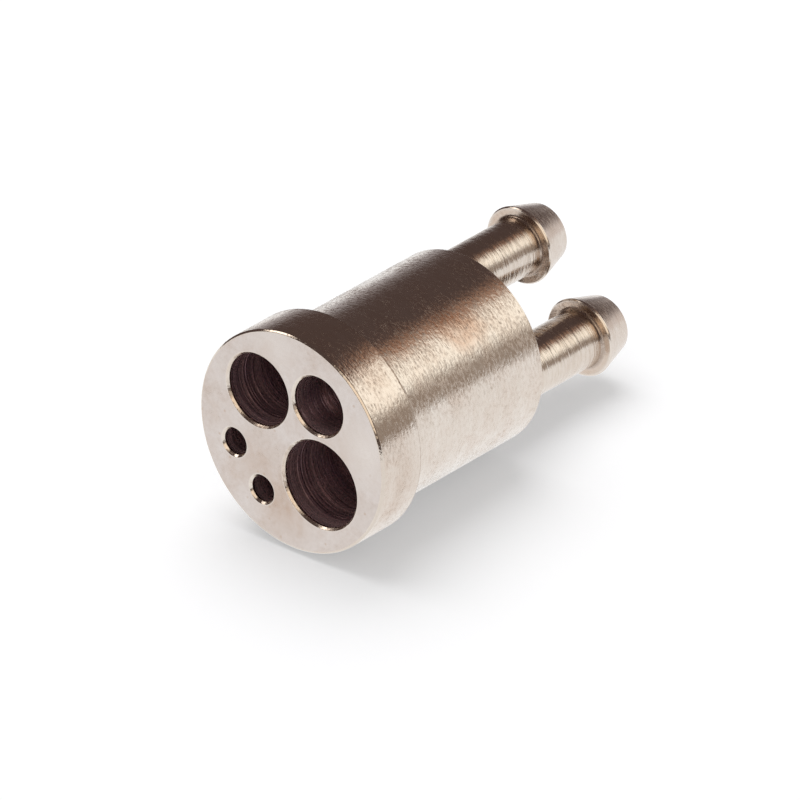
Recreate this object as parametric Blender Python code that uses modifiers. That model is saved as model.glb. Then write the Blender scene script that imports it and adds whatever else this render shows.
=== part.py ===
"""Five-port hose connector: a flanged body turned from bar, with hose barbs pressed into its rear.

Units are metres. The body's axis lies along +Y, as the part lies on a bench. The mating face is
at Y = 0 and looks along -Y, and the barbs stand out of the rear face.
"""
import math
from dataclasses import dataclass
from typing import Optional

import bpy

MM = 0.001

# Turned body
FLANGE_RADIUS = 5.6 * MM
FLANGE_LENGTH = 2.75 * MM
BODY_RADIUS = 4.9 * MM
BODY_LENGTH = 12.4 * MM
RIM_CHAMFER = 0.12 * MM
EDGE_BREAK = 0.06 * MM

# Ports through the body
PORT_CHAMFER = 0.11 * MM
SEAT_DEPTH = 1.2 * MM
SEAT_STEP = 0.05 * MM
FRONT_BORE_DEPTH = 8.0 * MM
SOCKET_DEPTH = 3.0 * MM
EXIT_CHAMFER = 0.1 * MM

# Fit of a barb's shank in its socket
FIT_GAP = 0.05 * MM

# Smoothness of the round forms
BODY_SEGMENTS = 64
PORT_SEGMENTS = 40
FILLET_STEPS = 4

# Room that a cutter keeps past the faces it goes through
OVERRUN = 0.5 * MM
STOCK_ALLOWANCE = 0.6 * MM
MERGE_DISTANCE = 1e-7
SHARP_ANGLE = math.radians(30.0)


@dataclass(frozen=True)
class BarbSize:
    """One size of hose barb, with distances along the axis from the mating face."""

    stem_radius: float
    head_radius: float
    tip_radius: float
    bore_radius: float
    fillet_radius: float
    shoulder: float
    tip: float


@dataclass(frozen=True)
class Port:
    """One hole through the body, and the barb in its rear socket if it has one."""

    name: str
    x: float
    z: float
    radius: float
    seat_step: float
    barb: Optional[BarbSize]
    color: tuple


MAIN_BARB = BarbSize(
    stem_radius=1.45 * MM,
    head_radius=1.97 * MM,
    tip_radius=1.49 * MM,
    bore_radius=0.95 * MM,
    fillet_radius=0.16 * MM,
    shoulder=18.95 * MM,
    tip=20.85 * MM,
)
LINE_BARB = BarbSize(
    stem_radius=0.75 * MM,
    head_radius=0.98 * MM,
    tip_radius=0.72 * MM,
    bore_radius=0.42 * MM,
    fillet_radius=0.1 * MM,
    shoulder=16.4 * MM,
    tip=17.4 * MM,
)
BRIGHT_NICKEL = (0.70, 0.63, 0.56, 1.0)
SATIN_NICKEL = (0.66, 0.59, 0.53, 1.0)
PORTS = (
    Port("upper_hose", -2.05 * MM, 2.02 * MM, 1.81 * MM, SEAT_STEP, MAIN_BARB, BRIGHT_NICKEL),
    Port("lower_hose", 1.72 * MM, -1.65 * MM, 2.18 * MM, SEAT_STEP, MAIN_BARB, BRIGHT_NICKEL),
    Port("light_guide", 1.61 * MM, 2.43 * MM, 1.46 * MM, 0.0, None, BRIGHT_NICKEL),
    Port("side_line", -3.5 * MM, -1.22 * MM, 0.66 * MM, 0.0, LINE_BARB, SATIN_NICKEL),
    Port("bottom_line", -1.83 * MM, -3.14 * MM, 0.66 * MM, 0.0, LINE_BARB, SATIN_NICKEL),
)


def clear_scene():
    """Remove every object and collection that the file opened with."""
    for obj in list(bpy.data.objects):
        bpy.data.objects.remove(obj, do_unlink=True)
    for collection in list(bpy.data.collections):
        bpy.data.collections.remove(collection)


def new_collection(name):
    """Make a collection under the scene's own."""
    collection = bpy.data.collections.new(name)
    bpy.context.scene.collection.children.link(collection)
    return collection


def plated_metal(name, color, roughness):
    """Make the plated metal of one piece."""
    material = bpy.data.materials.new(name)
    material.use_nodes = True
    shader = material.node_tree.nodes["Principled BSDF"]
    shader.inputs["Base Color"].default_value = color
    shader.inputs["Metallic"].default_value = 1.0
    shader.inputs["Roughness"].default_value = roughness
    return material


def turned(name, profile, segments, closed, collection):
    """Turn a profile of (radius, height) points round the local Z axis.

    The profile runs down its outer side. A closed profile makes a ring or a tube, and an open
    one starts and ends on the axis.
    """
    count = len(profile)
    edges = [(i, i + 1) for i in range(count - 1)]
    if closed:
        edges.append((count - 1, 0))
    mesh = bpy.data.meshes.new(name)
    mesh.from_pydata([(radius, 0.0, height) for radius, height in profile], edges, [])
    obj = bpy.data.objects.new(name, mesh)
    collection.objects.link(obj)
    screw = obj.modifiers.new("turn", "SCREW")
    screw.axis = "Z"
    screw.angle = 2.0 * math.pi
    screw.steps = segments
    screw.render_steps = segments
    screw.use_merge_vertices = True
    screw.merge_threshold = MERGE_DISTANCE
    return obj


def mark_cutter(obj):
    """Show an object as a wire guide that is not part of the product."""
    obj.hide_render = True
    obj.display_type = "WIRE"


def cut(obj, cutter):
    """Cut one object out of another."""
    boolean = obj.modifiers.new(cutter.name, "BOOLEAN")
    boolean.operation = "DIFFERENCE"
    boolean.solver = "EXACT"
    boolean.object = cutter


def body_waste_profile():
    """Outline of the ring of metal that the lathe takes off the bar."""
    outside = FLANGE_RADIUS + 2.0 * STOCK_ALLOWANCE
    rear = BODY_LENGTH + OVERRUN
    return [
        (outside, rear),
        (outside, -OVERRUN),
        (FLANGE_RADIUS - RIM_CHAMFER - OVERRUN, -OVERRUN),
        (FLANGE_RADIUS, RIM_CHAMFER),
        (FLANGE_RADIUS, FLANGE_LENGTH - EDGE_BREAK),
        (FLANGE_RADIUS - EDGE_BREAK, FLANGE_LENGTH),
        (BODY_RADIUS, FLANGE_LENGTH),
        (BODY_RADIUS, BODY_LENGTH - EDGE_BREAK),
        (BODY_RADIUS - EDGE_BREAK - OVERRUN, rear),
    ]


def port_profile(port):
    """Half section of one port, from the rear face down to the mating face."""
    rear = BODY_LENGTH + OVERRUN
    mouth = [
        (port.radius, PORT_CHAMFER),
        (port.radius + PORT_CHAMFER + OVERRUN, -OVERRUN),
        (0.0, -OVERRUN),
    ]
    if port.barb is None:
        flare = port.radius + EXIT_CHAMFER
        inner = [(0.0, rear), (flare + OVERRUN, rear), (port.radius, BODY_LENGTH - EXIT_CHAMFER)]
        return inner + mouth
    socket = port.barb.stem_radius + FIT_GAP
    floor = BODY_LENGTH - SOCKET_DEPTH
    inner = [(0.0, rear), (socket, rear), (socket, floor)]
    inner += [(port.barb.bore_radius, floor), (port.barb.bore_radius, FRONT_BORE_DEPTH)]
    bore = port.radius - port.seat_step
    inner.append((bore, FRONT_BORE_DEPTH))
    if port.seat_step > 0.0:
        inner += [(bore, SEAT_DEPTH), (port.radius, SEAT_DEPTH)]
    return inner + mouth


def fillet(barb):
    """Points of the hollow corner between a barb's shoulder and its stem."""
    points = []
    for step in range(FILLET_STEPS + 1):
        angle = 0.5 * math.pi * step / FILLET_STEPS
        radius = barb.stem_radius + barb.fillet_radius * (1.0 - math.sin(angle))
        height = barb.shoulder - barb.fillet_radius * (1.0 - math.cos(angle))
        points.append((radius, height))
    return points


def barb_profile(barb):
    """Half section of a barb, down its outside from the tip and back up its bore."""
    foot = BODY_LENGTH - SOCKET_DEPTH + FIT_GAP
    outside = [
        (barb.tip_radius - EDGE_BREAK, barb.tip),
        (barb.tip_radius, barb.tip - EDGE_BREAK),
        (barb.head_radius, barb.shoulder + 2.0 * EDGE_BREAK),
        (barb.head_radius, barb.shoulder + EDGE_BREAK),
        (barb.head_radius - EDGE_BREAK, barb.shoulder),
    ]
    outside += fillet(barb)
    outside += [(barb.stem_radius, foot + EDGE_BREAK), (barb.stem_radius - EDGE_BREAK, foot)]
    bore = [
        (barb.bore_radius, foot),
        (barb.bore_radius, barb.tip - EDGE_BREAK),
        (barb.bore_radius + EDGE_BREAK, barb.tip),
    ]
    return outside + bore


def make_body(axis, parts, cutters):
    """Turn the body from bar and drill its ports."""
    bpy.ops.mesh.primitive_cylinder_add(
        vertices=BODY_SEGMENTS,
        radius=FLANGE_RADIUS + STOCK_ALLOWANCE,
        depth=BODY_LENGTH,
        end_fill_type="NGON",
    )
    body = bpy.context.object
    body.name = "connector_body"
    for collection in list(body.users_collection):
        collection.objects.unlink(body)
    parts.objects.link(body)
    body.parent = axis
    body.location.z = 0.5 * BODY_LENGTH

    waste = turned("turned_off", body_waste_profile(), BODY_SEGMENTS, True, cutters)
    waste.parent = axis
    # Half a step of turn puts a flat facet, not a corner, under the part as it lies.
    waste.rotation_euler.z = math.pi / BODY_SEGMENTS
    mark_cutter(waste)
    cut(body, waste)

    for port in PORTS:
        drill = turned(port.name + "_port", port_profile(port), PORT_SEGMENTS, False, cutters)
        drill.parent = axis
        drill.location = (port.x, -port.z, 0.0)
        mark_cutter(drill)
        cut(body, drill)
    body.data.materials.append(plated_metal("body_nickel", SATIN_NICKEL, 0.34))
    return body


def make_barb(port, axis, parts):
    """Turn one hose barb and stand it in its port's rear socket."""
    name = port.name + "_barb"
    barb = turned(name, barb_profile(port.barb), PORT_SEGMENTS, True, parts)
    barb.parent = axis
    barb.location = (port.x, -port.z, 0.0)
    barb.data.materials.append(plated_metal(port.name + "_nickel", port.color, 0.28))
    return barb


def shade_round(obj):
    """Keep the cut shape as a plain mesh, smooth on its round faces and sharp at its corners."""
    evaluated = obj.evaluated_get(bpy.context.evaluated_depsgraph_get())
    mesh = bpy.data.meshes.new_from_object(evaluated)
    obj.modifiers.clear()
    obj.data = mesh
    mesh.shade_smooth()
    mesh.set_sharp_from_angle(angle=SHARP_ANGLE)


def main():
    """Build the connector, lying along +Y."""
    clear_scene()
    parts = new_collection("five_port_hose_connector")
    cutters = new_collection("cutters")
    axis = bpy.data.objects.new("connector_axis", None)
    parts.objects.link(axis)
    axis.rotation_euler.x = -0.5 * math.pi

    pieces = [make_body(axis, parts, cutters)]
    for port in PORTS:
        if port.barb is not None:
            pieces.append(make_barb(port, axis, parts))
    bpy.context.view_layer.update()
    for piece in pieces:
        shade_round(piece)


main()
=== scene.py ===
"""Looks of a five-port hose connector: plated brass turnings lying on a white studio sweep.

Units are metres. The connector's axis lies along +Y, with its mating face at Y = 0.
"""
import logging
import math
from dataclasses import dataclass, field
from enum import Enum
from typing import Dict, List, Optional, Sequence, Tuple, Union

import bmesh
import bpy
from bpy.types import ID, Curve, Material, Mesh, Node, NodeOutputs, NodeSocket, NodeTree, Object
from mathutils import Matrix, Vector


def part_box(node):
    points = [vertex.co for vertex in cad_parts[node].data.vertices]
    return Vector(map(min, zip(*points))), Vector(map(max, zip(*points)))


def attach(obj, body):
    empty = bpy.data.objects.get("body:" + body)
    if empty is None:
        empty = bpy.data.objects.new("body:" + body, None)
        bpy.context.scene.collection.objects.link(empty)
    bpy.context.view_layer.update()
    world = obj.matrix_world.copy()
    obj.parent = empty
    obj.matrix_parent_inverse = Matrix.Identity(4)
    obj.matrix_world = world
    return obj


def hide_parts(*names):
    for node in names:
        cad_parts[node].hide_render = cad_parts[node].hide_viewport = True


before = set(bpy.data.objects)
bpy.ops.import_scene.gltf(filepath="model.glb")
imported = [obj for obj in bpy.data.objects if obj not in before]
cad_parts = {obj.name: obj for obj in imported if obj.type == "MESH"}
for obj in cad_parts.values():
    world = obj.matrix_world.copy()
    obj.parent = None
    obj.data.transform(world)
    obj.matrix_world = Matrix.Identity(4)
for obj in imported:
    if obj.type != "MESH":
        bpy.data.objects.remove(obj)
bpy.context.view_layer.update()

LOG = logging.getLogger("hose_connector")
MM = 0.001
MICRON = 1e-6
BODY = "root"

# Welding of the shells that make one piece
WELD_DISTANCE = 0.6 * MICRON
SLIVER_LENGTH = 0.3 * MICRON
SHARP_ANGLE = math.radians(32.0)

# Turn that lays a tree's own Z axis along +Y
ALONG_Y = (-0.5 * math.pi, 0.0, 0.0)

Triple = Tuple[float, float, float]
Colour = Triple
Span = Tuple[float, float]
Feed = Union[NodeSocket, float, int, Sequence[float]]


class NodeSheet:
    """A node tree, with short calls that place nodes, join them and name the sockets."""

    # Places of a Mix node's factor and colours, and of the colour that it puts out
    MIX_INPUTS = (0, 6, 7)
    MIX_OUTPUT = 2

    def __init__(self, tree: NodeTree) -> None:
        """Work on one shader or geometry tree."""
        self.tree = tree

    @classmethod
    def start(cls, name: str, kind: str, inputs: Dict[str, str], outputs: Dict[str, str]) -> "NodeSheet":
        """Start a tree that has named sockets.

        Args:
            name: The tree's name.
            kind: Its type.
            inputs: The kind of each input.
            outputs: The kind of each output.

        Returns:
            Its sheet.
        """
        tree = bpy.data.node_groups.new(name, kind)
        for side, sockets in (("INPUT", inputs), ("OUTPUT", outputs)):
            for socket, data in sockets.items():
                tree.interface.new_socket(socket, in_out=side, socket_type="NodeSocket" + data)
        return cls(tree)

    def put(self, kind: str, feeds: Optional[Dict] = None, **settings: object) -> Node:
        """Place a node.

        Args:
            kind: The node's type.
            feeds: What goes into its inputs, by name or place: a socket to join or a value.
            settings: The node's own options.

        Returns:
            The new node.
        """
        node = self.tree.nodes.new(kind)
        for name, value in settings.items():
            setattr(node, name, value)
        for key, value in (feeds or {}).items():
            self.feed(node.inputs[key], value)
        return node

    def feed(self, socket: NodeSocket, value: Feed) -> None:
        """Join an output to an input, or set the input's value.

        Args:
            socket: The input.
            value: The output or the value.
        """
        if isinstance(value, NodeSocket):
            self.tree.links.new(value, socket)
        else:
            socket.default_value = value

    def math(self, operation: str, *values: Feed, clamp: bool = False) -> NodeSocket:
        """Place a Math node, with sockets or numbers for its inputs in order."""
        settings = {"operation": operation, "use_clamp": clamp}
        return self.put("ShaderNodeMath", dict(enumerate(values)), **settings).outputs[0]

    def blend(self, amount: Feed, first: Feed, second: Feed) -> NodeSocket:
        """Mix two colours, by how much of the second one shows."""
        feeds = dict(zip(self.MIX_INPUTS, (amount, first, second)))
        node = self.put("ShaderNodeMix", feeds, data_type="RGBA", clamp_factor=True)
        return node.outputs[self.MIX_OUTPUT]

    def distance(self, first: Feed, second: Feed) -> NodeSocket:
        """Work out a length from two legs that are square to each other."""
        squares = [self.math("POWER", leg, 2.0) for leg in (first, second)]
        return self.math("SQRT", self.math("ADD", *squares))

    def ramp(
        self, value: Feed, span: Span, low: float = 0.0, high: float = 1.0, **settings: object
    ) -> NodeSocket:
        """Map a span of values to the one from low to high, and hold its ends."""
        feeds = dict(enumerate((value, *span, low, high)))
        return self.put("ShaderNodeMapRange", feeds, **settings).outputs[0]

    def noise(self, place: Feed, scale: float, **others: float) -> NodeSocket:
        """Read a Noise Texture at a place, with its other inputs given by name."""
        feeds = {name.title(): value for name, value in others.items()}
        return self.put("ShaderNodeTexNoise", {"Vector": place, "Scale": scale, **feeds}).outputs[0]

    def group(self, tree: NodeTree, feeds: Dict) -> NodeOutputs:
        """Place a shared shader group and give its outputs."""
        return self.put("ShaderNodeGroup", feeds, node_tree=tree).outputs

    def circle(self, steps: Feed, radius: Feed) -> NodeSocket:
        """Place a round curve and give it."""
        feeds = {"Resolution": steps, "Radius": radius}
        return self.put("GeometryNodeCurvePrimitiveCircle", feeds, mode="RADIUS").outputs["Curve"]

    def plate(self, shape: Feed, place: Feed, plating: Feed) -> None:
        """End a geometry tree: lay its shape along +Y, put it in place and plate it.

        Args:
            shape: The geometry, with its axis along Z.
            place: Where the axis starts.
            plating: The material.
        """
        feeds = {"Geometry": shape, "Translation": place, "Rotation": ALONG_Y}
        placed = self.put("GeometryNodeTransform", feeds)
        real = self.put("GeometryNodeRealizeInstances", {"Geometry": placed.outputs[0]})
        feeds = {"Geometry": real.outputs[0], "Material": plating}
        plated = self.put("GeometryNodeSetMaterial", feeds)
        self.put("NodeGroupOutput", {0: plated.outputs[0]})


def opaque(colour: Colour) -> Tuple[float, float, float, float]:
    """Give a colour its full alpha."""
    return (*colour, 1.0)


def linked(name: str, data: ID) -> Object:
    """Make an object of some data and link it to the scene.

    Args:
        name: The object's name.
        data: Its mesh, curve, lamp or camera.

    Returns:
        The object.
    """
    thing = bpy.data.objects.new(name, data)
    bpy.context.scene.collection.objects.link(thing)
    return thing


@dataclass(frozen=True)
class Corner:
    """One corner of a half section, and the radius that rounds it."""

    radius: float
    along: float
    round: float = 0.0


class TurnedForm:
    """Geometry Nodes tree that turns a half section round an axis along +Y."""

    DATUM_RADIUS = 1.0 * MM
    CORNER_STEPS = 4

    def __init__(self) -> None:
        """Build the tree once."""
        inputs = {
            "Half Section": "Geometry",
            "Segments": "Int",
            "Corner Steps": "Int",
            "Datum Radius": "Float",
            "Axis Place": "Vector",
            "Plating": "Material",
        }
        sheet = NodeSheet.start("turned_form", "GeometryNodeTree", inputs, {"Turned Piece": "Geometry"})
        given = sheet.put("NodeGroupInput").outputs
        corner = sheet.put("GeometryNodeInputRadius").outputs[0]
        feeds = {"Curve": given["Half Section"], "Count": given["Corner Steps"], "Radius": corner}
        feeds["Limit Radius"] = True
        rounded = sheet.put("GeometryNodeFilletCurve", feeds, mode="POLY")
        path = sheet.circle(given["Segments"], given["Datum Radius"])
        upright = sheet.put("GeometryNodeSetCurveNormal", {"Curve": path}, mode="Z_UP")
        feeds = {"Curve": upright.outputs[0], "Profile Curve": rounded.outputs[0]}
        swept = sheet.put("GeometryNodeCurveToMesh", feeds)
        sheet.plate(swept.outputs[0], given["Axis Place"], given["Plating"])
        self.tree = sheet.tree

    def turn(
        self, section: Sequence[Corner], segments: int, axis: Tuple[float, float], plating: Material
    ) -> Mesh:
        """Turn one half section.

        Args:
            section: Its corners in order.
            segments: Steps round the axis.
            axis: The axis's X and Z.
            plating: The material.

        Returns:
            The turned mesh, in its place.
        """
        drawing = bpy.data.curves.new("half_section", "CURVE")
        drawing.dimensions = "3D"
        line = drawing.splines.new("POLY")
        line.points.add(len(section) - 1)
        for point, corner in zip(line.points, section):
            point.co = (corner.radius - self.DATUM_RADIUS, -corner.along, 0.0, 1.0)
            point.radius = corner.round
        values = {
            "Segments": segments,
            "Corner Steps": self.CORNER_STEPS,
            "Datum Radius": self.DATUM_RADIUS,
            "Axis Place": (axis[0], 0.0, axis[1]),
            "Plating": plating,
        }
        return grown_mesh(drawing, self.tree, values)


def grown_mesh(drawing: Union[Curve, Mesh], tree: NodeTree, values: Dict) -> Mesh:
    """Grow a plain mesh from a drawing through a Geometry Nodes tree.

    Args:
        drawing: The curve or mesh that goes into the tree.
        tree: The tree.
        values: What its named inputs get.

    Returns:
        The finished mesh. The drawing is removed.
    """
    holder = linked("drawing", drawing)
    nodes = holder.modifiers.new("grow", "NODES")
    nodes.node_group = tree
    for item in tree.interface.items_tree:
        if item.in_out == "INPUT" and item.name in values:
            nodes[item.identifier] = values[item.name]
    evaluated = holder.evaluated_get(bpy.context.evaluated_depsgraph_get())
    mesh = bpy.data.meshes.new_from_object(evaluated)
    holder.modifiers.remove(nodes)
    bpy.data.objects.remove(holder)
    return mesh


class PortedFace:
    """Geometry Nodes tree that lays a flat round face with a ring at every port left open."""

    MOUTH = "mouth_radius"

    def __init__(self) -> None:
        """Build the tree once."""
        inputs = {
            "Port Centres": "Geometry",
            "Rim Radius": "Float",
            "Rim Segments": "Int",
            "Mouth Segments": "Int",
            "Face Place": "Vector",
            "Plating": "Material",
        }
        sheet = NodeSheet.start("ported_face", "GeometryNodeTree", inputs, {"Face": "Geometry"})
        given = sheet.put("NodeGroupInput").outputs
        ring = sheet.circle(given["Mouth Segments"], 1.0)
        reach = sheet.put("GeometryNodeInputNamedAttribute", {"Name": self.MOUTH}, data_type="FLOAT")
        feeds = {"Points": given["Port Centres"], "Instance": ring, "Scale": reach.outputs[0]}
        mouths = sheet.put("GeometryNodeInstanceOnPoints", feeds)
        loose = sheet.put("GeometryNodeRealizeInstances", {"Geometry": mouths.outputs[0]})
        rim = sheet.circle(given["Rim Segments"], given["Rim Radius"])
        both = sheet.put("GeometryNodeJoinGeometry", {"Geometry": rim})
        sheet.feed(both.inputs["Geometry"], loose.outputs[0])
        filled = sheet.put("GeometryNodeFillCurve", {"Curve": both.outputs[0]}, mode="TRIANGLES")
        sheet.plate(filled.outputs[0], given["Face Place"], given["Plating"])
        self.tree = sheet.tree

    def lay(
        self, mouths: Sequence[Triple], edge: Corner, segments: Tuple[int, int], plating: Material
    ) -> Mesh:
        """Lay one face.

        Args:
            mouths: The X, Z and radius of each opening.
            edge: The corner where the face meets the outside.
            segments: Steps round the rim and round each opening.
            plating: The material.

        Returns:
            The face's mesh, in its place.
        """
        points = bpy.data.meshes.new("port_centres")
        points.from_pydata([(x, -z, 0.0) for x, z, _ in mouths], [], [])
        reach = points.attributes.new(self.MOUTH, "FLOAT", "POINT")
        for item, mouth in zip(reach.data, mouths):
            item.value = mouth[2]
        values = {
            "Rim Radius": edge.radius,
            "Rim Segments": segments[0],
            "Mouth Segments": segments[1],
            "Face Place": (0.0, edge.along, 0.0),
            "Plating": plating,
        }
        return grown_mesh(points, self.tree, values)


def closed_piece(name: str, shells: Sequence[Mesh]) -> Object:
    """Weld shells that share their borders into one closed piece.

    Args:
        name: The piece's name.
        shells: The meshes, already in place.

    Returns:
        The piece, linked to the scene.
    """
    whole = bmesh.new()
    platings = list(dict.fromkeys(shell.materials[0] for shell in shells))
    for shell in shells:
        before = len(whole.faces)
        whole.from_mesh(shell)
        whole.faces.ensure_lookup_table()
        for face in whole.faces[before:]:
            face.material_index = platings.index(shell.materials[0])
        bpy.data.meshes.remove(shell)
    bmesh.ops.remove_doubles(whole, verts=whole.verts, dist=WELD_DISTANCE)
    bmesh.ops.dissolve_degenerate(whole, edges=whole.edges, dist=SLIVER_LENGTH)
    bmesh.ops.recalc_face_normals(whole, faces=whole.faces)
    open_edges = sum(1 for edge in whole.edges if not edge.is_manifold)
    mesh = bpy.data.meshes.new(name)
    whole.to_mesh(mesh)
    whole.free()
    for plating in platings:
        mesh.materials.append(plating)
    mesh.shade_smooth()
    mesh.set_sharp_from_angle(angle=SHARP_ANGLE)
    piece = linked(name, mesh)
    LOG.info("%s: %d faces, %d open edges", name, len(mesh.polygons), open_edges)
    return piece


class Lay(Enum):
    """Which way a tool's marks run on a turned surface."""

    AROUND = 0.0
    FACED = 1.0


@dataclass(frozen=True)
class Ring:
    """A band along a ring: the ring's axis, place and radius, and the band's width and strength."""

    x: float
    z: float
    along: float
    radius: float
    width: float
    strength: float = 1.0

    @classmethod
    def spot(cls, x: float, z: float, along: float, width: float, strength: float) -> "Ring":
        """Give a ring with no radius, which is a round place."""
        return cls(x, z, along, 0.0, width, strength)


class SurfaceEffects:
    """Shader node groups that the platings share."""

    STREAK_STRETCH = (0.23, 0.5, 0.5)
    FROST_SPAN = (0.38, 0.64)
    CLOUD_SCALE = 0.1
    BLOTCH_SCALE = 520.0
    BLOTCH_SPAN = (0.44, 0.8)
    # A cell of the grain holds a bright speck, a dark pit or nothing, by its own random draw.
    CELL_SCALE = 0.7
    SPECK_SPAN = (0.12, 0.4)
    SPECK_DRAW = 0.5
    PIT_SPAN = (0.08, 0.3)
    PIT_DRAW = 0.16

    def __init__(self) -> None:
        """Build every group once."""
        self.turning_marks = self._turning_marks()
        self.satin_grain = self._satin_grain()
        self.ring_band = self._ring_band()

    @staticmethod
    def _sheet(name: str, inputs: Dict[str, str], outputs: Sequence[str]) -> NodeSheet:
        """Start a shader group that puts out named values."""
        return NodeSheet.start(name, "ShaderNodeTree", inputs, dict.fromkeys(outputs, "Float"))

    def _turning_marks(self) -> NodeTree:
        """Draw the fine rings that a lathe tool leaves, round the piece's axis.

        Returns:
            The group.
        """
        sheet = self._sheet(
            "turning_marks",
            {"Position": "Vector", "Faced": "Float", "Pitch": "Float", "Drift": "Float"},
            ("Height", "Streak"),
        )
        given = sheet.put("NodeGroupInput").outputs
        axes = sheet.put("ShaderNodeSeparateXYZ", {0: given["Position"]}).outputs
        radius = sheet.distance(axes[0], axes[2])
        run = sheet.math("MULTIPLY_ADD", radius, given["Faced"], axes[1])
        rings = sheet.math("DIVIDE", run, given["Pitch"])
        side = sheet.math("DIVIDE", axes[0], given["Drift"])
        rise = sheet.math("DIVIDE", axes[2], given["Drift"])
        place = sheet.put("ShaderNodeCombineXYZ", {0: rings, 1: side, 2: rise}).outputs[0]
        feeds = {0: place, 1: self.STREAK_STRETCH}
        wide = sheet.put("ShaderNodeVectorMath", feeds, operation="MULTIPLY")
        fine = sheet.noise(place, 1.0, detail=2.0, roughness=0.6)
        broad = sheet.noise(wide.outputs[0], 1.0, detail=1.0, roughness=0.5)
        sheet.put("NodeGroupOutput", {"Height": fine, "Streak": broad})
        return sheet.tree

    def _satin_grain(self) -> NodeTree:
        """Draw fine grain round the axis, with dull crystals, soft patches, specks and pits.

        Returns:
            The group.
        """
        sheet = self._sheet(
            "satin_grain",
            {"Position": "Vector", "Size": "Float", "Stretch": "Float"},
            ("Height", "Frost", "Cloud", "Blotch", "Specks", "Pits"),
        )
        given = sheet.put("NodeGroupInput").outputs
        axes = sheet.put("ShaderNodeSeparateXYZ", {0: given["Position"]}).outputs
        long_size = sheet.math("MULTIPLY", given["Size"], given["Stretch"])
        sizes = (long_size, given["Size"], long_size)
        steps = [sheet.math("DIVIDE", axis, size) for axis, size in zip(axes, sizes)]
        place = sheet.put("ShaderNodeCombineXYZ", dict(enumerate(steps))).outputs[0]
        grain = sheet.noise(place, 1.0, detail=2.0, roughness=0.5)
        cloud = sheet.noise(place, self.CLOUD_SCALE, detail=3.0, roughness=0.55, distortion=0.6)
        spot = given["Position"]
        patch = sheet.noise(spot, self.BLOTCH_SCALE, detail=4.0, roughness=0.7, distortion=0.4)
        cells = sheet.put(
            "ShaderNodeTexVoronoi", {"Vector": place, "Scale": self.CELL_SCALE, "Randomness": 1.0}
        ).outputs
        draw = sheet.put("ShaderNodeSeparateColor", {0: cells["Color"]}).outputs[0]
        speck = sheet.ramp(cells["Distance"], self.SPECK_SPAN, 1.0, 0.0)
        pit = sheet.ramp(cells["Distance"], self.PIT_SPAN, 1.0, 0.0)
        speckled = sheet.math("GREATER_THAN", draw, self.SPECK_DRAW)
        pitted = sheet.math("LESS_THAN", draw, self.PIT_DRAW)
        sheet.put(
            "NodeGroupOutput",
            {
                "Height": grain,
                "Frost": sheet.ramp(grain, self.FROST_SPAN),
                "Cloud": cloud,
                "Blotch": sheet.ramp(patch, self.BLOTCH_SPAN),
                "Specks": sheet.math("MULTIPLY", speck, speckled),
                "Pits": sheet.math("MULTIPLY", pit, pitted),
            },
        )
        return sheet.tree

    def _ring_band(self) -> NodeTree:
        """Draw a soft band along a ring, for edge wear and dirt, and for painted light and painted shade
        in corners and along the flange.

        Returns:
            The group.
        """
        inputs = {"Position": "Vector", "Centre": "Vector"}
        inputs.update({"Radius": "Float", "Width": "Float", "Strength": "Float"})
        sheet = self._sheet("ring_band", inputs, ("Mask",))
        given = sheet.put("NodeGroupInput").outputs
        off = sheet.put(
            "ShaderNodeVectorMath", {0: given["Position"], 1: given["Centre"]}, operation="SUBTRACT"
        )
        axes = sheet.put("ShaderNodeSeparateXYZ", {0: off.outputs[0]}).outputs
        aside = sheet.math("SUBTRACT", sheet.distance(axes[0], axes[2]), given["Radius"])
        gap = sheet.math("DIVIDE", sheet.distance(aside, axes[1]), given["Width"])
        rise = sheet.math("SUBTRACT", 1.0, gap, clamp=True)
        mask = sheet.math("MULTIPLY", rise, given["Strength"], clamp=True)
        sheet.put("NodeGroupOutput", {"Mask": mask})
        return sheet.tree

    def bands(self, sheet: NodeSheet, place: Feed, rings: Sequence[Ring]) -> Feed:
        """Join the bands of several rings.

        Args:
            sheet: The material's tree.
            place: Object coordinates.
            rings: The rings.

        Returns:
            The mask of all the bands, or 0 where there are none.
        """
        mask: Feed = 0.0
        for ring in rings:
            feeds = {"Radius": ring.radius, "Width": ring.width, "Strength": ring.strength}
            feeds.update({"Position": place, "Centre": (ring.x, ring.along, ring.z)})
            mask = sheet.math("MAXIMUM", mask, sheet.group(self.ring_band, feeds)["Mask"])
        return mask


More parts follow.
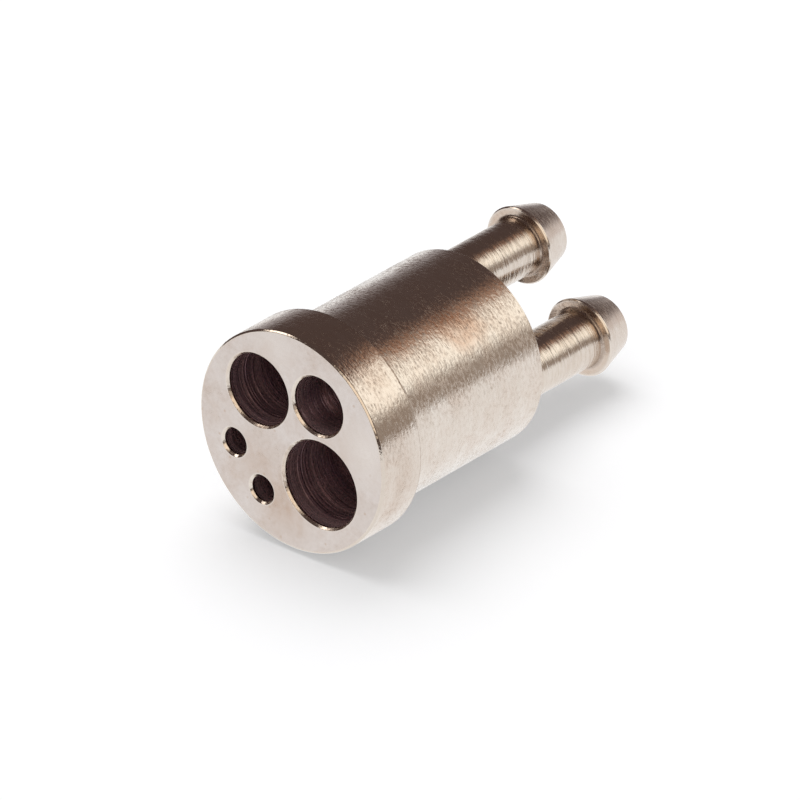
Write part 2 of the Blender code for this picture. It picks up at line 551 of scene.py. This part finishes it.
@dataclass(frozen=True)
class PlatedFinish:
    """One plated surface: its colours, sheen, tool marks and grain."""

    name: str
    colour: Colour = (0.755, 0.695, 0.635)
    stain: Colour = (0.58, 0.48, 0.40)
    rust: Colour = (0.56, 0.41, 0.31)
    bright: Colour = (0.78, 0.72, 0.66)
    # Colour of dirt, and of painted shade in corners and along edges
    dirt_and_shade_colour: Colour = (0.30, 0.22, 0.17)
    roughness: float = 0.1
    frost: float = 0.36
    lay: Lay = Lay.AROUND
    mark_pitch: float = 0.14 * MM
    mark_drift: float = 2.5 * MM
    mark_share: float = 0.4
    streak_share: float = 0.3
    grain_size: float = 0.12 * MM
    grain_stretch: float = 1.8
    relief: float = 20.0 * MICRON
    stain_share: float = 0.3
    mottle_share: float = 0.2
    blotch_share: float = 0.3
    speck_share: float = 0.42
    pit_share: float = 0.08
    # Roughness added under the dirt and the painted shade
    dirt_and_shade_dull: float = 0.16
    metallic: float = 1.0

    # How much the grain breaks up a band, and the blotches a browned patch
    BAND_BREAK = 0.9
    BAND_BASE = 0.45
    PATCH_BREAK = 0.45
    PATCH_BASE = 0.55
    STAIN_SPAN = (0.42, 0.68)
    STREAK_SPAN = (0.12, 0.38)
    BLOTCH_DULL = 0.7
    SPECK_DULL = 1.1

    def material(
        self,
        effects: SurfaceEffects,
        edges: Sequence[Ring] = (),
        dirt_and_shade_rings: Sequence[Ring] = (),
        patches: Sequence[Ring] = (),
    ) -> Material:
        """Mix the plating.

        Args:
            effects: The shared node groups.
            edges: Rings where handling has brightened an edge, and pale spots on the face, one of them
                painted light.
            dirt_and_shade_rings: Rings darkened by dirt and by painted shade.
            patches: Round places where the plating has browned.

        Returns:
            The material.
        """
        material = bpy.data.materials.new(self.name)
        material.use_nodes = True
        sheet = NodeSheet(material.node_tree)
        place = sheet.put("ShaderNodeTexCoord").outputs["Object"]
        cut = {"Faced": self.lay.value, "Pitch": self.mark_pitch, "Drift": self.mark_drift}
        marks = sheet.group(effects.turning_marks, {"Position": place, **cut})
        size = {"Size": self.grain_size, "Stretch": self.grain_stretch}
        grain = sheet.group(effects.satin_grain, {"Position": place, **size})
        broken = sheet.math("MULTIPLY_ADD", grain["Height"], self.BAND_BREAK, self.BAND_BASE, clamp=True)
        blotched = sheet.math("MULTIPLY_ADD", grain["Blotch"], self.PATCH_BREAK, self.PATCH_BASE)
        wear_and_light_mask, dirt_and_shade_mask, brown = [
            sheet.math("MULTIPLY", effects.bands(sheet, place, rings), breaks)
            for rings, breaks in ((edges, broken), (dirt_and_shade_rings, broken), (patches, blotched))
        ]
        streak = sheet.math("MULTIPLY", marks["Height"], marks["Streak"])
        layers = (
            (sheet.ramp(grain["Cloud"], self.STAIN_SPAN, high=self.stain_share), self.stain),
            (sheet.math("MULTIPLY", grain["Frost"], self.mottle_share), self.stain),
            (sheet.math("MULTIPLY", grain["Blotch"], self.blotch_share), self.rust),
            (brown, self.rust),
            (sheet.ramp(streak, self.STREAK_SPAN, high=self.streak_share), self.stain),
            (sheet.math("MULTIPLY", grain["Specks"], self.speck_share), self.bright),
            (sheet.math("MULTIPLY", grain["Pits"], self.pit_share), self.rust),
            # Edge wear and the face's pale spots, one of them painted light, brighten the colour
            (wear_and_light_mask, self.bright),
            # Dirt and painted shade darken their rings
            (dirt_and_shade_mask, self.dirt_and_shade_colour),
        )
        colour: Feed = opaque(self.colour)
        for share, tint in layers:
            colour = sheet.blend(share, colour, opaque(tint))
        shader = material.node_tree.nodes["Principled BSDF"]
        sheet.feed(shader.inputs["Base Color"], colour)
        sheet.feed(shader.inputs["Roughness"], self._roughness(sheet, grain, wear_and_light_mask, dirt_and_shade_mask))
        shader.inputs["Metallic"].default_value = self.metallic

        relief = sheet.math("MULTIPLY", grain["Height"], 1.0 - self.mark_share)
        relief = sheet.math("MULTIPLY_ADD", marks["Height"], self.mark_share, relief)
        bump = sheet.put("ShaderNodeBump", {"Height": relief, "Distance": self.relief, "Strength": 1.0})
        sheet.feed(shader.inputs["Normal"], bump.outputs[0])
        return material

    def _roughness(self, sheet: NodeSheet, grain: NodeOutputs, wear_and_light_mask: Feed, dirt_and_shade_mask: Feed) -> NodeSocket:
        """Dull the plating in its crystals, and under dirt and painted shade.

        Args:
            sheet: The material's tree.
            grain: Outputs of the grain's group.
            wear_and_light_mask: Mask of the edge wear and of the pale spots, one of them painted light;
                these stay sharp.
            dirt_and_shade_mask: Mask of the dirt and of the painted shade.

        Returns:
            The roughness.
        """
        dull = sheet.math("MULTIPLY_ADD", grain["Blotch"], self.BLOTCH_DULL, grain["Cloud"])
        dull = sheet.math("MULTIPLY", grain["Frost"], dull)
        dull = sheet.math("MULTIPLY", dull, sheet.math("SUBTRACT", 1.0, wear_and_light_mask, clamp=True))
        dull = sheet.math("MULTIPLY_ADD", grain["Specks"], self.SPECK_DULL * self.speck_share, dull)
        rough = sheet.math("MULTIPLY_ADD", dull, self.frost, self.roughness)
        return sheet.math("MULTIPLY_ADD", dirt_and_shade_mask, self.dirt_and_shade_dull, rough)


@dataclass(frozen=True)
class BarbSize:
    """One size of hose barb, with distances along the axis from the mating face."""

    stem_radius: float
    head_radius: float
    tip_radius: float
    bore_radius: float
    fillet_radius: float
    shoulder: float
    tip: float


MAIN_BARB = BarbSize(
    stem_radius=1.45 * MM,
    head_radius=1.97 * MM,
    tip_radius=1.49 * MM,
    bore_radius=0.95 * MM,
    fillet_radius=0.16 * MM,
    shoulder=18.95 * MM,
    tip=20.85 * MM,
)
LINE_BARB = BarbSize(
    stem_radius=0.75 * MM,
    head_radius=0.98 * MM,
    tip_radius=0.72 * MM,
    bore_radius=0.42 * MM,
    fillet_radius=0.1 * MM,
    shoulder=16.4 * MM,
    tip=17.4 * MM,
)


@dataclass(frozen=True)
class Port:
    """One hole through the body, and the barb in its rear socket if it has one."""

    name: str
    x: float
    z: float
    radius: float
    seat_step: float = 0.0
    barb: Optional[BarbSize] = None


SEAT_STEP = 0.05 * MM
PORTS = (
    Port("upper_hose", -2.05 * MM, 2.02 * MM, 1.81 * MM, SEAT_STEP, MAIN_BARB),
    Port("lower_hose", 1.72 * MM, -1.65 * MM, 2.18 * MM, SEAT_STEP, MAIN_BARB),
    Port("light_guide", 1.61 * MM, 2.43 * MM, 1.46 * MM),
    Port("side_line", -3.5 * MM, -1.22 * MM, 0.66 * MM, barb=LINE_BARB),
    Port("bottom_line", -1.83 * MM, -3.14 * MM, 0.66 * MM, barb=LINE_BARB),
)


@dataclass
class ConnectorBody:
    """The flanged body: a turned outside, two flat faces and five stepped ports."""

    lathe: TurnedForm
    facer: PortedFace
    effects: SurfaceEffects
    node: str = "connector_body"
    flange_radius: float = 5.6 * MM
    flange_length: float = 2.75 * MM
    body_radius: float = 4.9 * MM
    rim_chamfer: float = 0.085 * MM
    edge_break: float = 0.06 * MM
    port_chamfer: float = 0.11 * MM
    seat_depth: float = 1.2 * MM
    front_bore_depth: float = 8.0 * MM
    socket_depth: float = 3.0 * MM
    exit_chamfer: float = 0.1 * MM
    fit_gap: float = 0.05 * MM
    crisp: float = 0.02 * MM
    body_segments: int = 256
    port_segments: int = 128
    rear_wear: float = 0.1 * MM
    mouth_wear: float = 0.07 * MM
    # Widths of the painted shade in the corner at the flange's foot and along the flange's rear edge,
    # and of the darker ring at each seat step
    foot_dirt_and_shade: float = 0.16 * MM
    edge_shade_line: float = 0.13 * MM
    seat_dark_band: float = 0.12 * MM
    length: float = field(init=False)

    # Places where the plating has browned on the outside and on the mating face, and pale spots on the
    # face
    COPPER_SPOTS = (
        Ring.spot(3.33 * MM, 3.60 * MM, 8.20 * MM, 1.3 * MM, 1.9),
        Ring.spot(2.98 * MM, 3.89 * MM, 7.73 * MM, 1.1 * MM, 1.5),
        Ring.spot(3.31 * MM, 3.61 * MM, 8.95 * MM, 1.1 * MM, 1.5),
        Ring.spot(2.76 * MM, 4.05 * MM, 4.55 * MM, 0.8 * MM, 0.9),
    )
    FACE_STAINS = (
        Ring.spot(-0.4 * MM, -3.7 * MM, 0.0, 2.4 * MM, 0.9),
        Ring.spot(-2.3 * MM, -2.1 * MM, 0.0, 1.9 * MM, 0.7),
    )
    # Pale spots on the mating face, brightened with its edges. The one on the right is painted light,
    # for the brighter right side of the face; the one near the top lightens the face there.
    PALE_FACE_SPOTS = (
        Ring.spot(4.6 * MM, 1.0 * MM, 0.0, 2.2 * MM, 1.1),
        Ring.spot(-1.0 * MM, 4.8 * MM, 0.0, 1.8 * MM, 0.7),
    )

    def __post_init__(self) -> None:
        """Take the length from the frame."""
        self.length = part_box(self.node)[1][1]

    def outside(self) -> List[Corner]:
        """Draw the half section of the turned outside.

        Returns:
            Its corners, from the mating face to the rear face.
        """
        crisp, rim, edge = self.crisp, self.rim_chamfer, self.edge_break
        return [
            Corner(self.flange_radius - rim - 2.0 * crisp, 0.0),
            Corner(self.flange_radius - rim, 0.0, 2.0 * crisp),
            Corner(self.flange_radius, rim, 3.0 * crisp),
            Corner(self.flange_radius, self.flange_length - edge, crisp),
            Corner(self.flange_radius - edge, self.flange_length, crisp),
            Corner(self.body_radius, self.flange_length, 2.0 * crisp),
            Corner(self.body_radius, self.length - edge, crisp),
            Corner(self.body_radius - edge, self.length, crisp),
            Corner(self.body_radius - edge - 2.0 * crisp, self.length),
        ]

    def mouth(self, port: Port) -> List[Corner]:
        """Draw the half section of one port's chamfered mouth.

        Args:
            port: The port.

        Returns:
            Its corners, from the mating face inwards.
        """
        crisp, chamfer = self.crisp, self.port_chamfer
        return [
            Corner(port.radius + chamfer + crisp, 0.0),
            Corner(port.radius + chamfer, 0.0, crisp),
            Corner(port.radius, chamfer, 2.0 * crisp),
            Corner(port.radius, 2.0 * chamfer),
        ]

    def bore(self, port: Port) -> List[Corner]:
        """Draw the half section of one port behind its mouth.

        Args:
            port: The port.

        Returns:
            Its corners, out to the rear face.
        """
        crisp = self.crisp
        section = [Corner(port.radius, 2.0 * self.port_chamfer)]
        bore = port.radius - port.seat_step
        if port.seat_step > 0.0:
            section += [Corner(radius, self.seat_depth, crisp) for radius in (port.radius, bore)]
        if port.barb is None:
            section += [
                Corner(bore, self.length - self.exit_chamfer, crisp),
                Corner(bore + self.exit_chamfer, self.length, crisp),
            ]
        else:
            floor = self.length - self.socket_depth
            socket = port.barb.stem_radius + self.fit_gap
            section += [
                Corner(bore, self.front_bore_depth, crisp),
                Corner(port.barb.bore_radius, self.front_bore_depth, crisp),
                Corner(port.barb.bore_radius, floor, crisp),
                Corner(socket, floor, crisp),
                Corner(socket, self.length, crisp),
            ]
        section.append(Corner(section[-1].radius + crisp, self.length))
        return section

    def build(self) -> Object:
        """Turn the outside, lay the faces and sink the ports.

        Returns:
            The closed body.
        """
        outer, faced, bored = self.dress()
        rim = self.outside()
        shells = [self.lathe.turn(rim, self.body_segments, (0.0, 0.0), outer)]
        front: List[Triple] = []
        rear: List[Triple] = []
        for port in PORTS:
            mouth, bore, axis = self.mouth(port), self.bore(port), (port.x, port.z)
            for section, plating in ((mouth, outer), (bore, bored)):
                shells.append(self.lathe.turn(section, self.port_segments, axis, plating))
            front.append((*axis, mouth[0].radius))
            rear.append((*axis, bore[-1].radius))
        for mouths, edge in ((front, rim[0]), (rear, rim[-1])):
            shells.append(self.facer.lay(mouths, edge, (self.body_segments, self.port_segments), faced))
        piece = closed_piece("flanged_body", shells)
        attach(piece, BODY)
        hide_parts(self.node)
        return piece

    def dress(self) -> Tuple[Material, Material, Material]:
        """Mix the platings.

        Returns:
            The platings of the turned outside, the flat faces and the bores.
        """
        rim = self.rim_chamfer
        edges = [
            Ring(0.0, 0.0, 0.5 * rim, self.flange_radius, 1.6 * rim, 1.6),
            Ring(0.0, 0.0, self.length, self.body_radius, self.rear_wear),
        ]
        # A smaller ring that is off the axis touches the flange along an arc only.
        dirt_and_shade_rings = [
            # Painted shade in the corner where the body meets the flange
            Ring(0.0, 0.0, self.flange_length, self.body_radius, self.foot_dirt_and_shade),
            # Painted shade: a dark line along the flange's rear edge, stronger on the arc where the
            # highlight crosses it, for the dark reflection of that edge
            Ring(0.0, 0.0, self.flange_length, self.flange_radius, self.edge_shade_line, 0.9),
            Ring(2.01 * MM, 1.95 * MM, self.flange_length, 2.8 * MM, 0.17 * MM, 1.7),
            # Painted shade on the lower side of the flange
            Ring(2.35 * MM, -0.86 * MM, 0.5 * self.flange_length, 3.1 * MM, 1.7 * MM, 0.1),
        ]
        flange_tint = Ring(0.0, 0.0, 0.5 * self.flange_length, self.flange_radius, 2.4 * MM, 0.24)
        outer = PlatedFinish(
            "satin_nickel_turned",
            rust=(0.52, 0.33, 0.23),
            bright=(0.67, 0.60, 0.53),
            dirt_and_shade_colour=(0.24, 0.155, 0.105),
        ).material(self.effects, edges, dirt_and_shade_rings, (flange_tint, *self.COPPER_SPOTS))
        mouths = [
            Ring(port.x, port.z, 0.0, port.radius + self.port_chamfer, self.mouth_wear)
            for port in PORTS
        ]
        faced = PlatedFinish(
            "satin_nickel_faced",
            colour=(0.665, 0.607, 0.577),
            stain=(0.55, 0.47, 0.42),
            rust=(0.47, 0.33, 0.24),
            bright=(0.70, 0.64, 0.60),
            lay=Lay.FACED,
            roughness=0.14,
            frost=0.16,
            grain_stretch=1.0,
            grain_size=0.24 * MM,
            relief=9.0 * MICRON,
            mark_share=0.2,
            streak_share=0.1,
            stain_share=0.36,
            mottle_share=0.18,
            blotch_share=0.4,
            speck_share=0.0,
            pit_share=0.45,
        ).material(self.effects, [edges[0], *mouths, *self.PALE_FACE_SPOTS], patches=self.FACE_STAINS)
        bored = PlatedFinish(
            "dull_nickel_bored",
            colour=(0.60, 0.40, 0.395),
            stain=(0.24, 0.14, 0.16),
            rust=(0.46, 0.26, 0.22),
            dirt_and_shade_colour=(0.16, 0.09, 0.10),
            roughness=0.26,
            frost=0.06,
            metallic=0.62,
            mark_share=1.0,
            streak_share=0.85,
            stain_share=0.1,
            mottle_share=0.0,
            mark_pitch=0.2 * MM,
            mark_drift=8.0 * MM,
            relief=100.0 * MICRON,
            speck_share=0.0,
            dirt_and_shade_dull=0.0,
        ).material(
            self.effects,
            dirt_and_shade_rings=[
                # A darker ring at the seat step of each hose port
                Ring(port.x, port.z, self.seat_depth, port.radius, self.seat_dark_band, 1.5)
                for port in PORTS
                if port.seat_step > 0.0
            ],
        )
        return outer, faced, bored


@dataclass
class HoseBarb:
    """One barb: a hollow stem in its socket, a flat shoulder and a tapered head."""

    lathe: TurnedForm
    port: Port
    head_plating: Material
    stem_plating: Material
    slot: str
    segments: int = 128
    edge_break: float = 0.06 * MM
    crisp: float = 0.02 * MM
    foot: float = field(init=False)

    def __post_init__(self) -> None:
        """Take the foot's place from the frame."""
        self.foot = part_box(self.node)[0][1]

    @property
    def node(self) -> str:
        """Name of the solid that this barb stands for."""
        return self.port.name + "_barb"

    @property
    def land(self) -> Corner:
        """Corner where the head meets the stem, below the fillet."""
        size = self.port.barb
        return Corner(size.stem_radius, size.shoulder - 1.5 * size.fillet_radius)

    @property
    def lip(self) -> Corner:
        """Corner where the head meets the stem, in the bore."""
        return Corner(self.port.barb.bore_radius, self.port.barb.tip - 2.0 * self.edge_break)

    def head(self) -> List[Corner]:
        """Draw the half section of the tapered head.

        Returns:
            Its corners, from its bore over the tip to its shoulder.
        """
        size, edge, crisp = self.port.barb, self.edge_break, self.crisp
        return [
            self.lip,
            Corner(size.bore_radius, size.tip - edge, crisp),
            Corner(size.bore_radius + edge, size.tip, crisp),
            Corner(size.tip_radius - edge, size.tip, crisp),
            Corner(size.tip_radius, size.tip - edge, crisp),
            Corner(size.head_radius, size.shoulder + 2.0 * edge, 2.0 * crisp),
            Corner(size.head_radius, size.shoulder + edge, crisp),
            Corner(size.head_radius - edge, size.shoulder, crisp),
            Corner(size.stem_radius, size.shoulder, size.fillet_radius),
            self.land,
        ]

    def stem(self) -> List[Corner]:
        """Draw the half section of the stem.

        Returns:
            Its corners, from below the fillet to its foot and back up the bore.
        """
        size, edge, crisp = self.port.barb, self.edge_break, self.crisp
        return [
            self.land,
            Corner(size.stem_radius, self.foot + edge, crisp),
            Corner(size.stem_radius - edge, self.foot, crisp),
            Corner(size.bore_radius, self.foot, crisp),
            self.lip,
        ]

    def build(self) -> Object:
        """Turn the barb.

        Returns:
            The closed barb.
        """
        axis = (self.port.x, self.port.z)
        halves = ((self.head(), self.head_plating), (self.stem(), self.stem_plating))
        shells = [self.lathe.turn(section, self.segments, axis, plating) for section, plating in halves]
        piece = closed_piece(self.node + "_turned", shells)
        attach(piece, BODY)
        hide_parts(self.node)
        return piece


@dataclass
class Barbs:
    """The four barbs and the plating of each size."""

    lathe: TurnedForm
    effects: SurfaceEffects
    shoulder_wear: float = 0.14 * MM
    tip_wear: float = 0.1 * MM
    # Width of the painted shade in the fillet under each shoulder
    corner_shade: float = 0.2 * MM
    shoulder_brown: float = 0.3 * MM
    foot_dirt_and_shade: float = 0.15 * MM

    def build(self) -> List[Object]:
        """Turn every barb that a port holds.

        Returns:
            The barbs.
        """
        pieces = []
        for port in PORTS:
            if port.barb is None:
                continue
            slot = "barb_nickel" if port.barb is MAIN_BARB else "line_nickel"
            pieces.append(HoseBarb(self.lathe, port, *self.dress(port), slot).build())
        return pieces

    def dress(self, port: Port) -> Tuple[Material, Material]:
        """Mix the platings of one barb.

        Args:
            port: The port that holds it.

        Returns:
            The platings of its head and its stem.
        """
        size, x, z = port.barb, port.x, port.z
        edges = [
            Ring(x, z, size.shoulder, size.head_radius, self.shoulder_wear),
            Ring(x, z, size.tip, size.tip_radius, self.tip_wear),
        ]
        # Painted shade in the fillet where the stem meets the shoulder
        corner = [Ring(x, z, size.shoulder, size.stem_radius, self.corner_shade)]
        middle = 0.5 * (size.stem_radius + size.head_radius)
        brown = [Ring(x, z, size.shoulder, middle, self.shoulder_brown, 0.8)]
        foot = [Ring(x, z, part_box("connector_body")[1][1], size.stem_radius, self.foot_dirt_and_shade)]
        head = PlatedFinish(
            port.name + "_head_nickel",
            colour=(0.70, 0.635, 0.58),
            roughness=0.17,
            frost=0.16,
            relief=9.0 * MICRON,
        )
        stem = PlatedFinish(
            port.name + "_stem_nickel",
            colour=(0.725, 0.66, 0.595),
            roughness=0.12,
            frost=0.2,
            mark_share=0.8,
            mark_pitch=0.11 * MM,
            mark_drift=5.0 * MM,
            grain_stretch=3.0,
            relief=42.0 * MICRON,
        )
        return head.material(self.effects, edges, corner, brown), stem.material(self.effects, dirt_and_shade_rings=foot)


@dataclass(frozen=True)
class Softbox:
    """A window of light in the tent: its direction, half size in radians, edge and glow."""

    direction: Triple
    half_width: float
    half_height: float
    edge: float
    glow: Colour


@dataclass
class Studio:
    """White sweep, dark tent with softboxes, key lamp and the camera."""

    body: ConnectorBody
    floor_radius: float = 0.07
    floor_segments: int = 128
    tent_radius: float = 0.3
    tent_segments: int = 64
    tent_shade: Colour = (0.095, 0.066, 0.060)
    softboxes: Tuple[Softbox, ...] = (
        # Cards low on the left and behind
        Softbox((-0.735, 0.672, 0.0), 0.60, 0.12, 0.24, (0.46, 0.43, 0.44)),
        Softbox((0.10, 0.995, 0.0), 0.52, 0.22, 0.20, (0.86, 0.80, 0.78)),
        # Warm card and dim gap round the main window
        Softbox((0.42, 0.672, 0.61), 0.40, 0.19, 0.18, (0.43, 0.255, 0.175)),
        Softbox((0.733, 0.672, 0.103), 0.35, 0.16, 0.10, (0.39, 0.325, 0.275)),
        # Main window
        Softbox((0.543, 0.672, 0.503), 0.30, 0.25, 0.17, (1.39, 1.34, 1.22)),
        # Small window that glints in the edges
        Softbox((-0.70, -0.40, 0.59), 0.16, 0.16, 0.12, (2.4, 2.2, 2.0)),
        # Card behind the camera
        Softbox((0.567, -0.672, 0.476), 0.36, 0.40, 0.20, (1.25, 1.08, 0.88)),
    )
    key_direction: Triple = (-0.32, 0.115, 1.0)
    key_distance: float = 0.4
    key_size: float = 0.42
    key_power: float = 1.2
    ambient: float = 0.4
    paper: Colour = (0.66, 0.66, 0.67)
    floor_glow: float = 0.41
    floor_sheen: float = 1.04
    view_azimuth: float = 40.15
    view_elevation: float = 28.39
    view_distance: float = 0.504
    view_target: Triple = (-0.964 * MM, 8.96 * MM, -1.807 * MM)
    lens: float = 482.5
    sensor_width: float = 36.0
    view_depth: Span = (0.01, 10.0)

    def build(self) -> None:
        """Set up the floor, the tent, the lamps, the world and the camera."""
        self._floor()
        self._tent()
        self._key()
        self._world()
        self._camera()
        bpy.context.scene.view_settings.view_transform = "Standard"

    @staticmethod
    def _gear(name: str, shape: bmesh.types.BMesh) -> Tuple[Object, NodeSheet]:
        """Stand a piece of studio gear round the part, with an empty material.

        Args:
            name: The gear's name.
            shape: Its shape, which is freed.

        Returns:
            The gear and its material's tree.
        """
        mesh = bpy.data.meshes.new(name)
        shape.to_mesh(mesh)
        shape.free()
        material = bpy.data.materials.new(name)
        material.use_nodes = True
        material.node_tree.nodes.remove(material.node_tree.nodes["Principled BSDF"])
        mesh.materials.append(material)
        return linked(name, mesh), NodeSheet(material.node_tree)

    @staticmethod
    def _mirror_ray(sheet: NodeSheet) -> NodeSocket:
        """Tell the rays by which metal and glass show the backdrop.

        Args:
            sheet: The backdrop's tree.

        Returns:
            1 for a glossy or transmission ray that hasn't met a dull surface, and 0 for others.
        """
        rays = sheet.put("ShaderNodeLightPath").outputs
        mirror = sheet.math("ADD", rays["Is Glossy Ray"], rays["Is Transmission Ray"], clamp=True)
        first = sheet.math("LESS_THAN", rays["Diffuse Depth"], 0.5)
        return sheet.math("MULTIPLY", mirror, first)

    @staticmethod
    def _backdrop_glow(
        sheet: NodeSheet, mirror: Feed, seen: float, mirrored: float, lighting: float
    ) -> NodeSocket:
        """Set how bright the backdrop is to each kind of ray.

        Args:
            sheet: The backdrop's tree.
            mirror: Mask of the rays by which metal and glass show it.
            seen: Strength to camera rays.
            mirrored: Strength to the rays of the mask.
            lighting: Strength to all other rays.

        Returns:
            The strength.
        """
        camera = sheet.put("ShaderNodeLightPath").outputs["Is Camera Ray"]
        strength = sheet.math("MULTIPLY_ADD", mirror, mirrored - lighting, lighting)
        return sheet.math("MULTIPLY_ADD", camera, seen - lighting, strength)

    def _floor(self) -> None:
        """Lay the white sweep under the two edges that the part rests on."""
        front, low = self.body.flange_length, -self.body.flange_radius
        rear, high = self.body.length, -self.body.body_radius
        slope = (high - low) / (rear - front)
        disc = bmesh.new()
        steps, radius = self.floor_segments, self.floor_radius
        bmesh.ops.create_circle(disc, cap_ends=True, segments=steps, radius=radius)
        for vert in disc.verts:
            vert.co.z = low + slope * (vert.co.y - front)
        floor, sheet = self._gear("white_sweep", disc)
        mirror = self._mirror_ray(sheet)
        strength = self._backdrop_glow(sheet, mirror, self.floor_glow, self.floor_sheen, 0.0)
        paper = sheet.put("ShaderNodeBsdfDiffuse", {"Color": opaque(self.paper)})
        glow = sheet.put("ShaderNodeEmission", {"Strength": strength})
        lit = sheet.put("ShaderNodeAddShader", {0: paper.outputs[0], 1: glow.outputs[0]})
        both = sheet.put("ShaderNodeMixShader", {0: mirror, 1: lit.outputs[0], 2: glow.outputs[0]})
        sheet.feed(sheet.tree.nodes["Material Output"].inputs["Surface"], both.outputs[0])

    def _tent(self) -> None:
        """Hang the dark tent that the metal reflects, with its softbox windows."""
        ball = bmesh.new()
        steps = self.tent_segments
        bmesh.ops.create_uvsphere(ball, u_segments=steps, v_segments=steps // 2, radius=self.tent_radius)
        bmesh.ops.reverse_faces(ball, faces=ball.faces)
        tent, sheet = self._gear("studio_tent", ball)
        place = sheet.put("ShaderNodeTexCoord").outputs["Object"]
        toward = sheet.put("ShaderNodeVectorMath", {0: place}, operation="NORMALIZE").outputs[0]
        colour: Feed = opaque(self.tent_shade)
        for box in self.softboxes:
            colour = sheet.blend(self._window(sheet, toward, box), colour, opaque(box.glow))
        glow = sheet.put("ShaderNodeEmission", {"Color": colour, "Strength": 1.0})
        sheet.feed(sheet.tree.nodes["Material Output"].inputs["Surface"], glow.outputs[0])
        tent.visible_camera = False
        tent.visible_diffuse = False
        tent.visible_shadow = False

    @staticmethod
    def _window(sheet: NodeSheet, toward: NodeSocket, box: Softbox) -> NodeSocket:
        """Shape one softbox window with soft edges.

        Args:
            sheet: The tent's tree.
            toward: Direction from the part.
            box: The softbox.

        Returns:
            The window's mask.
        """
        middle = Vector(box.direction).normalized()
        across = Vector((0.0, 0.0, 1.0)).cross(middle).normalized()
        upward = middle.cross(across)
        parts = [
            sheet.put("ShaderNodeVectorMath", {0: toward, 1: axis}, operation="DOT_PRODUCT").outputs[1]
            for axis in (across, upward, middle)
        ]
        mask = sheet.math("GREATER_THAN", parts[2], 0.0)
        for part, half in ((parts[0], box.half_width), (parts[1], box.half_height)):
            angle = sheet.math("ABSOLUTE", sheet.math("ARCTAN2", part, parts[2]))
            span = (half - 0.5 * box.edge, half + 0.5 * box.edge)
            fade = sheet.ramp(angle, span, 1.0, 0.0, interpolation_type="SMOOTHSTEP")
            mask = sheet.math("MULTIPLY", mask, fade)
        return mask

    def _key(self) -> None:
        """Hang the key lamp that casts the part's shadow."""
        lamp = bpy.data.lights.new("key_lamp", "AREA")
        lamp.shape = "DISK"
        lamp.size = self.key_size
        lamp.energy = self.key_power
        holder = linked("key_lamp", lamp)
        direction = Vector(self.key_direction).normalized()
        holder.location = Vector(self.view_target) + direction * self.key_distance
        holder.rotation_euler = (-direction).to_track_quat("-Z", "Y").to_euler()
        holder.visible_camera = False
        holder.visible_glossy = False

    def _world(self) -> None:
        """Fill the background with white, and light the sweep from all round."""
        world = bpy.data.worlds.new("white_room")
        bpy.context.scene.world = world
        world.use_nodes = True
        sheet = NodeSheet(world.node_tree)
        background = world.node_tree.nodes["Background"]
        background.inputs["Color"].default_value = opaque((1.0, 1.0, 1.0))
        strength = self._backdrop_glow(sheet, self._mirror_ray(sheet), 1.0, 1.0, self.ambient)
        sheet.feed(background.inputs["Strength"], strength)

    def _camera(self) -> None:
        """Stand the camera at the photograph's viewing angle."""
        camera = bpy.data.cameras.new("photo_camera")
        camera.sensor_fit = "HORIZONTAL"
        camera.sensor_width = self.sensor_width
        camera.lens = self.lens
        camera.clip_start, camera.clip_end = self.view_depth
        azimuth, elevation = math.radians(self.view_azimuth), math.radians(self.view_elevation)
        level = math.cos(elevation)
        back = Vector((math.sin(azimuth) * level, -math.cos(azimuth) * level, math.sin(elevation)))
        holder = linked("photo_camera", camera)
        holder.location = Vector(self.view_target) + back * self.view_distance
        holder.rotation_euler = back.to_track_quat("Z", "Y").to_euler()
        bpy.context.scene.camera = holder


def main() -> None:
    """Build the studio and every piece, and log the body that each piece rides on."""
    logging.basicConfig(level=logging.INFO)
    lathe, facer, effects = TurnedForm(), PortedFace(), SurfaceEffects()
    body = ConnectorBody(lathe, facer, effects)
    Studio(body).build()
    pieces = [body.build(), *Barbs(lathe, effects).build()]
    for piece in pieces:
        LOG.info("%s rides on %s", piece.name, BODY)


if __name__ == "__main__":
    main()
